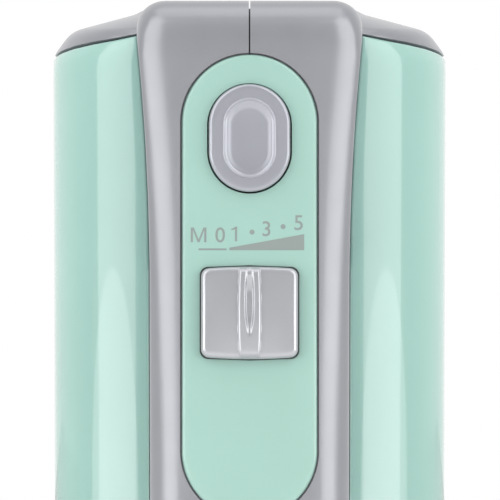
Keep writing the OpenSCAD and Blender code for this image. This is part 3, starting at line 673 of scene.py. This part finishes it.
def make_housing():
    body = casing("housing")
    boolean(body, [grip_ring("grip")], "UNION")
    boolean(body, housing_cutters())
    boolean(body, [housing_hollows()])
    far = 60 * MM  # wider than half the casing
    for word, x in (("left", (-SEAM_HALF, far)), ("right", (-far, SEAM_HALF))):
        half = body.copy()
        half.data = body.data.copy()
        half.name = word + "_housing_shell"
        scene.collection.objects.link(half)
        boolean(half, [block("away", x, EVERY_Y, (-10 * MM, 210 * MM))])
        shade(half, 38)
        finish_piece(half, "mixer_body", [word + "_housing"], MATERIALS["housing_silver"])
    bpy.data.objects.remove(body)


def make_seam_lip():
    """Tongue that closes the seam between the two halves from inside."""
    lip = block("housing_seam_lip", (-0.5 * MM, 0.5 * MM), EVERY_Y, (0, 210 * MM))
    body = casing("lip_body", 1.1 * MM)
    grip = grip_ring("lip_grip")
    middle = Vector((0, -60 * MM, 100 * MM))
    for v in grip.data.vertices:
        v.co = middle + (v.co - middle) * 0.982  # a little inside the grip's skin
    boolean(body, [grip], "UNION")
    boolean(lip, [body], "INTERSECT")
    above, within = GRIP_TOP - 2 * MM, (-88 * MM, -30 * MM)
    rooms = (  # gap, grip, inlay's seat, nose, heel, inlet and pads
        ((GAP_Y[0] - 2.4 * MM, GAP_Y[1] + 2 * MM), (GAP_Z[0] - 2.4 * MM, GAP_Z[1] + 2.4 * MM)),
        ((GRIP_TOP + 4 * MM, GAP_Y[0]), (12 * MM, 186 * MM)),
        ((above, GRIP_TOP + 5 * MM), (panel_low.z - 1 * MM, panel_high.z + 0.6 * MM)),
        (within, (144 * MM, 186 * MM)),
        (within, (8 * MM, 34 * MM)),
        ((above, GRIP_TOP + 14 * MM), (INLET_Z - 8 * MM, INLET_Z + 8 * MM)),
        ((-100 * MM, 40 * MM), (-1 * MM, HEEL + PAD_SEAT + 0.1 * MM)),
    )
    boolean(lip, [casing("lip_hollow", PANEL_T + WALL + 1 * MM)])
    boolean(lip, [block("lip_room", (-2 * MM, 2 * MM), y, z) for y, z in rooms])
    shade(lip, 40)
    finish_piece(lip, "mixer_body", [], MATERIALS["black_plastic"])


make_side_panels()
make_housing()
make_seam_lip()


# ---- Control panel ----

BUTTON_W = button_high.x * 2 - 3 * MM
BUTTON_L = button_high.z - button_low.z - 3 * MM


def stadium_rings(width, length, levels, top):
    """One stadium for each (inset, depth) level. top gives the y of a face at x."""
    rings = []
    for inset, depth in levels:
        w = max(width - 2 * inset, 0.1 * MM)
        rings.append([(x, top(x) + depth, z) for x, z in stadium(w, length - width + w, 40)])
    return rings


def quarter_round(radius, steps=6):
    """(inset, depth) pairs from the foot of a rounded edge to the face."""
    turns = [math.pi / 2 * k / steps for k in range(steps + 1)]
    return [(radius * (1 - math.cos(a)), radius * (1 - math.sin(a))) for a in turns]


def shifted(rings, z):
    return [[(x, y, zz + z) for x, y, zz in ring] for ring in rings]


def make_control_panel():
    width, length = panel_high.x * 2, panel_high.z - panel_low.z
    thick = panel_high.y - panel_low.y - 0.05 * MM
    flat_from = 0.9 * MM
    inward = [flat_from + (width / 2 - flat_from) * k / 12 for k in range(1, 13)]
    levels = [(0.0, thick)] + quarter_round(0.7 * MM) + [(d, 0.0) for d in inward]
    rings = shifted(stadium_rings(width, length, levels, crown_y), (panel_low.z + panel_high.z) / 2)
    panel = loft("control_panel_skin", rings)
    hole = stadium(BUTTON_W + 0.75 * MM, BUTTON_L + 0.55 * MM, 48)
    through = (GRIP_TOP - 2 * MM, GRIP_TOP + 5 * MM)
    boolean(panel, [
        prism("button_hole", [(x, z + BUTTON_Z - 0.1 * MM) for x, z in hole], *through),
        block("switch_slot", (-6.6 * MM, 8.4 * MM), through, (CAP_Z - 4.9 * MM, CAP_Z + 4.9 * MM)),
    ])
    shade(panel, 35)
    finish_piece(panel, "mixer_body", ["control_panel"], MATERIALS["mint_satin"])


# ---- Eject button ----

def smooth(t):
    t = min(1.0, max(0.0, t))
    return t * t * (3 - 2 * t)


def make_eject_button():
    """Flat rim with a bright rounded edge, a raised bead and a shallow dish inside it."""
    edge = 0.75 * MM
    bead_at, bead_w, bead_h, dish = 3.3 * MM, 0.66 * MM, 0.26 * MM, 0.22 * MM
    foot = button_high.y - button_low.y - 0.1 * MM
    levels = [(0.0, foot)] + quarter_round(edge, 8)
    levels += [(lerp(edge, bead_at - bead_w / 2, k / 4), 0.0) for k in range(1, 5)]
    for k in range(1, 13):
        t = k / 12
        levels.append((bead_at + bead_w * (t - 0.5), -bead_h * math.sin(math.pi * t)))
    dish_start, dish_end = bead_at + bead_w / 2, BUTTON_W / 2
    for k in range(1, 15):
        t = k / 14
        levels.append((lerp(dish_start, dish_end, t), dish * smooth(3.2 * t) + 0.1 * MM * t))

    def face(x):
        return button_low.y + 0.32 * MM

    rings = shifted(stadium_rings(BUTTON_W, BUTTON_L, levels, face), BUTTON_Z)
    button = loft("eject_button_cap", rings)
    shade(button, 50)
    finish_piece(button, "eject", ["eject_button"], MATERIALS["button_silver"])


# ---- Speed switch ----

CAP_HALF_W = (cap_high.x - cap_low.x) / 2 - 0.25 * MM
CAP_HALF_L = (cap_high.z - cap_low.z) / 2 - 0.12 * MM
CAP_CORNER = 1.7 * MM
CAP_EDGE = 1.0 * MM
# How far the black sheet of painted shadow reaches out beyond the switch cap
SHADOW_SHEET_OUT = 0.3 * MM
RIDGE_ROUND = 0.55 * MM
RIDGE_HEIGHT = 0.6 * MM


def cap_reach(x):
    """How far the cap's two ends are from its middle at x. They bow out a little."""
    return CAP_HALF_L - 0.45 * MM * (x / CAP_HALF_W) ** 2


def cap_inside(x, z):
    """Distance in from the cap's outline."""
    qx = abs(x) - CAP_HALF_W + CAP_CORNER
    qz = abs(z) - cap_reach(x) + CAP_CORNER
    return CAP_CORNER - math.hypot(max(qx, 0), max(qz, 0)) - min(max(qx, qz), 0)


def cap_height(x, z):
    """Height of the cap's face over its flats: a bowed ridge with a lens-shaped groove."""
    along = z / CAP_HALF_L
    half = (2.55 - 0.3 * along * along) * MM
    inward = min(1.0, max(0.0, (half - abs(x)) / RIDGE_ROUND))
    ridge = RIDGE_HEIGHT * math.sqrt(1 - (1 - inward) ** 2)
    ridge *= smooth((cap_reach(x) - abs(z)) / (1.5 * MM))
    past_point = along + 0.52  # the groove ends in a point in the lower half
    lens = 1.0 * MM * math.sqrt(max(0.0, min(1.0, past_point / 0.6)))
    lens *= 1 - 0.25 * smooth((along - 0.2) / 0.8)
    groove = 0.75 * MM * smooth((lens - abs(x)) / (0.5 * MM) + 0.3)
    groove *= smooth(past_point / 0.45) * (1 - 0.8 * smooth((along - 0.45) / 0.5))
    bow = 0.18 * MM * (1 - (x / CAP_HALF_W) ** 2) * (1 - along * along)
    return ridge - groove + bow


def make_switch_cap():
    flat = cap_low.y + 0.86 * MM
    foot = cap_high.y - 0.05 * MM
    fine = [k * 0.1 * MM for k in range(-29, 30)]
    edge_in = [-CAP_HALF_W + d * MM for d in (0, 0.04, 0.12, 0.25, 0.42, 0.62, 0.85, 1.1)]
    left = spaced(edge_in + fine[:1], 0.8 * MM)[:-1]
    xs = left + fine + [-x for x in reversed(left)]
    shares = [0, 0.004, 0.012, 0.025, 0.042, 0.065, 0.09, 0.12]
    vs = shares + list(np.linspace(0.15, 0.85, 45)) + [1 - s for s in reversed(shares)]
    shells = ([], [])
    for v in vs:
        for x in xs:
            past = max(0.0, abs(x) - CAP_HALF_W + CAP_CORNER)
            reach = cap_reach(x) - CAP_CORNER + math.sqrt(max(0.0, CAP_CORNER**2 - past**2))
            z = lerp(-reach, reach, v)
            d = max(0.0, min(CAP_EDGE, cap_inside(x, z)))
            drop = CAP_EDGE - math.sqrt(max(0.0, CAP_EDGE**2 - (CAP_EDGE - d) ** 2))
            height = cap_height(x, z) * smooth(d / CAP_EDGE)
            shells[0].append((x, flat + drop - height, z + CAP_Z))
            shells[1].append((x, foot, z + CAP_Z))
    cap = closed_shell("speed_switch_cap_skin", shells, len(vs), len(xs))
    shade(cap, 60)
    finish_piece(cap, "speed_switch", ["speed_switch_cap"], MATERIALS["switch_silver"])


def make_switch_shadow_sheet():
    """Thin black sheet under the cap: painted shadow of the gap between cap and panel, which shows as a
    dark line round the cap.
    """
    w, end = CAP_HALF_W, CAP_HALF_L - 0.4 * MM
    outline = rounded([(-w, -end, 1.8 * MM), (0, -CAP_HALF_L, 0), (w, -end, 1.8 * MM),
                       (w, end, 1.8 * MM), (0, CAP_HALF_L, 0), (-w, end, 1.8 * MM)])
    wider, longer = (w + SHADOW_SHEET_OUT) / w, (CAP_HALF_L + SHADOW_SHEET_OUT) / CAP_HALF_L
    shadow_sheet = prism("speed_switch_shadow_sheet", [(x * wider, z * longer + CAP_Z) for x, z in outline],
                 GRIP_TOP - 0.28 * MM, GRIP_TOP - 0.1 * MM)
    shade(shadow_sheet, 30)
    finish_piece(shadow_sheet, "speed_switch", [], MATERIALS["black_plastic"])


# ---- Legend ----

def lay_on_panel(obj):
    """Bends a flat mesh in the XZ plane on to the crowned panel, just proud of it."""
    for v in obj.data.vertices:
        v.co.y = crown_y(v.co.x) - 0.035 * MM
    return obj


def glyph(name, text, x, z, height):
    """A character of the built-in font as a flat mesh."""
    curve = bpy.data.curves.new(name, "FONT")
    curve.body = text
    curve.size = height / 0.69  # a figure's share of the font's size
    curve.align_x = "CENTER"
    curve.resolution_u = 6
    curve.offset = 0.03 * MM
    obj = bpy.data.objects.new(name, curve)
    scene.collection.objects.link(obj)
    graph = bpy.context.evaluated_depsgraph_get()
    mesh = bpy.data.meshes.new_from_object(obj.evaluated_get(graph))
    bpy.data.objects.remove(obj)
    for v in mesh.vertices:
        v.co = Vector((v.co.x + x, 0, v.co.y + z))
    flat = bpy.data.objects.new(name, mesh)
    scene.collection.objects.link(flat)
    return flat


def flat_shape(name, outline):
    return mesh_object(name, [(x, 0, z) for x, z in outline], [tuple(range(len(outline)))], False)


def letter_m(x, z, height):
    """Outline of a capital M with plain strokes."""
    half, stroke = 1.7 * MM, 0.48 * MM
    right = [(0, 1.25 * stroke), (half - 1.35 * stroke, height), (half, height), (half, 0),
             (half - stroke, 0), (half - stroke, height - 1.25 * stroke), (0.45 * stroke, 0)]
    return [(x + u, z + v) for u, v in right] + [(x - u, z + v) for u, v in reversed(right[1:])]


def figure_one(x, z, height):
    """Outline of a 1: a stem with a short flag to its left."""
    stem, flag = 0.48 * MM, 0.8 * MM
    outline = [(-stem, 0), (0, 0), (0, height), (-0.75 * stem, height),
               (-stem - 0.3 * flag, height - 0.35 * flag), (-stem - flag, height - 0.6 * flag),
               (-stem - flag, height - flag), (-stem, height - 0.75 * flag)]
    return [(x + 0.5 * MM + u, z + v) for u, v in outline]


def flat_band(name, x, foot, heights):
    """Band along X whose height changes evenly from one end to the other."""
    steps = 14
    points = []
    for k in range(steps + 1):
        at = lerp(x[0], x[1], k / steps)
        points += [(at, 0, foot), (at, 0, foot + lerp(*heights, k / steps))]
    return mesh_object(name, points, grid_faces(steps + 1, 2), False)


def make_legend():
    """Speed numbers over the switch, with a bar for the momentary setting and a rising wedge."""
    base, rise = CAP_Z + 15.4 * MM, 0.19
    height, dot_r = 3.2 * MM, 0.55 * MM
    parts = [flat_shape("speed_mark_M", letter_m(-11.1 * MM, base, height)),
             flat_shape("speed_mark_1", figure_one(-3.2 * MM, base + 0.2 * MM, height))]
    for text, x in (("0", -6.4), ("3", 3.7), ("5", 10.7)):
        lift = max(0.0, x * MM) * rise + (0.65 * MM if x > 0 else 0)
        parts.append(glyph("speed_mark_" + text, text, x * MM, base + lift, height))
    for k, (x, lift) in enumerate(((0.55, 2.2), (7.3, 3.4))):
        dot = [(x * MM + dot_r * math.cos(a), base + lift * MM + dot_r * math.sin(a))
               for a in np.linspace(0, 2 * math.pi, 20, endpoint=False)]
        parts.append(flat_shape("speed_dot_%d" % (k + 1), dot))
    foot = base - 1.75 * MM
    parts.append(flat_band("momentary_bar", (-11.1 * MM, -5 * MM), foot, (0.4 * MM, 0.4 * MM)))
    parts.append(flat_band("speed_wedge", (-4.4 * MM, 11.9 * MM), foot, (0.55 * MM, 3.5 * MM)))
    for part in parts:
        finish_piece(lay_on_panel(part), "mixer_body", [], LEGEND)


# ---- Beaters ----

def strip_path(head, tip, reach, thick):
    """Middle line of half a loop, as (distance from the shaft, y)."""
    t, root = thick / 2, 2.4 * MM
    return rounded([(root, head + t, 0), (7 * MM, head + t, 5.4 * MM),
                    (reach - t, head + 34.3 * MM, 25 * MM),
                    (reach - 1 * MM - t, tip - 8.3 * MM, 11.4 * MM), (9.8 * MM, tip - t, 7.4 * MM),
                    (root, tip - t, 0)], 9)


def make_strips(name, body, node, x, phase):
    """Four bent steel strips with rounded edges, swept along one half loop each."""
    low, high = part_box(node)
    wide, thick = 5 * MM, 1.4 * MM
    path = strip_path(low.y + 0.02 * MM, high.y - 0.02 * MM, 20 * MM, thick)
    way = np.gradient(path, axis=0)
    way /= np.linalg.norm(way, axis=1)[:, None]
    corners = ((-1, -1), (1, -1), (1, 1), (-1, 1))
    section = rounded([(u * wide / 2, v * thick / 2, 0.55 * MM) for u, v in corners], 4)
    strips = []
    for k in range(4):
        a = math.radians(phase + 90 * k)
        out = np.array((math.cos(a), 0, math.sin(a)))
        side = np.array((-math.sin(a), 0, math.cos(a)))
        rings = []
        for (r, y), (dr, dy) in zip(path, way):
            middle = np.array((x, 0, SPINDLE_Z)) + out * r + np.array((0, y, 0))
            normal = out * dy - np.array((0, dr, 0))
            rings.append([middle + side * u + normal * v for u, v in section])
        strips.append(loft("%s_%d" % (name, k + 1), rings))
    whole = strips[0]
    boolean(whole, strips[1:], "UNION")
    shade(whole, 40)
    finish_piece(whole, body, [node], MATERIALS["chrome"])


make_control_panel()
make_eject_button()
make_switch_cap()
# Black sheet under the switch cap that paints the shadow line round it
make_switch_shadow_sheet()
make_legend()
make_strips("left_beater_loops", "left_beater", "left_beater_strips", -SPINDLE_X, 0)
make_strips("right_beater_loops", "right_beater", "right_beater_strips", SPINDLE_X, 45)
dress_cad_nodes()


# ---- Stage, light and camera ----

def area(name, place, target, size, power, shape="RECTANGLE"):
    """Area light that the camera doesn't see."""
    data = bpy.data.lights.new(name, "AREA")
    data.shape = shape
    data.size, data.size_y = size
    data.energy = power
    light = bpy.data.objects.new(name, data)
    light.location = place
    light.rotation_euler = (Vector(target) - Vector(place)).to_track_quat("-Z", "Y").to_euler()
    light.visible_camera = False
    scene.collection.objects.link(light)


def make_stage():
    """Pale floor, and a white surround that is dimmer on the camera's side."""
    far = 6
    corners = [(-far, -far, 0), (far, -far, 0), (far, far, 0), (-far, far, 0)]
    floor = mesh_object("floor", corners, [(0, 1, 2, 3)], False)
    floor.data.materials.append(material("pale_floor", (0.82, 0.82, 0.81), 0.7, vary=0.01, scale=3))
    world = bpy.data.worlds.new("studio")
    world.use_nodes = True
    nodes, links = world.node_tree.nodes, world.node_tree.links
    back = nodes["Background"]
    back.inputs["Color"].default_value = (1, 1, 1, 1)
    coords = nodes.new("ShaderNodeTexCoord")
    parts = nodes.new("ShaderNodeSeparateXYZ")
    spread = nodes.new("ShaderNodeMapRange")
    for socket, value in (("From Min", -1), ("From Max", 0.6), ("To Min", 0.2), ("To Max", 1.0)):
        spread.inputs[socket].default_value = value
    links.new(coords.outputs["Generated"], parts.inputs["Vector"])
    links.new(parts.outputs["Y"], spread.inputs["Value"])
    links.new(spread.outputs["Result"], back.inputs["Strength"])
    scene.world = world
    scene.view_settings.view_transform = "Standard"


def make_camera():
    """Straight on to the grip's top, with its nose end filling the frame."""
    middle = Vector((0.1 * MM, 0, LENGTH - 54.4 * MM))
    shown = 108.9 * MM  # width of the picture at the grip's top
    away = 4.0
    data = bpy.data.cameras.new("camera")
    data.sensor_width = 36
    data.lens = data.sensor_width * (away + GRIP_TOP) / shown
    data.clip_start, data.clip_end = 0.1, 60
    camera = bpy.data.objects.new("camera", data)
    camera.location = middle + Vector((0, -away, 0))
    camera.rotation_euler = (math.pi / 2, 0, 0)
    scene.collection.objects.link(camera)
    scene.camera = camera


def make_lights():
    """Two tall soft boxes with a darker gap between them, low arches, a floor card and a top box."""
    target = (0, -40 * MM, 130 * MM)
    for side in (-1, 1):
        area("soft_box", (side * 1.4, -1.5, 0.9), target, (2.0, 2.6), 33)
        for top, wide, power in ((133 * MM, 1.0, 0.6), (112 * MM, 0.6, 0.25)):
            area("arch", (side * 0.67, -0.64, top / 2), (0, -40 * MM, top / 2), (wide, top), power,
                 "ELLIPSE")
    area("floor_card", (0, -0.3, 0.004), (0, -0.29, 1), (0.5, 0.2), 0.06)
    area("top_box", (0, -0.3, 1.6), (0, -0.05, 0.2), (1.6, 1.2), 6)


make_stage()
make_lights()
make_camera()
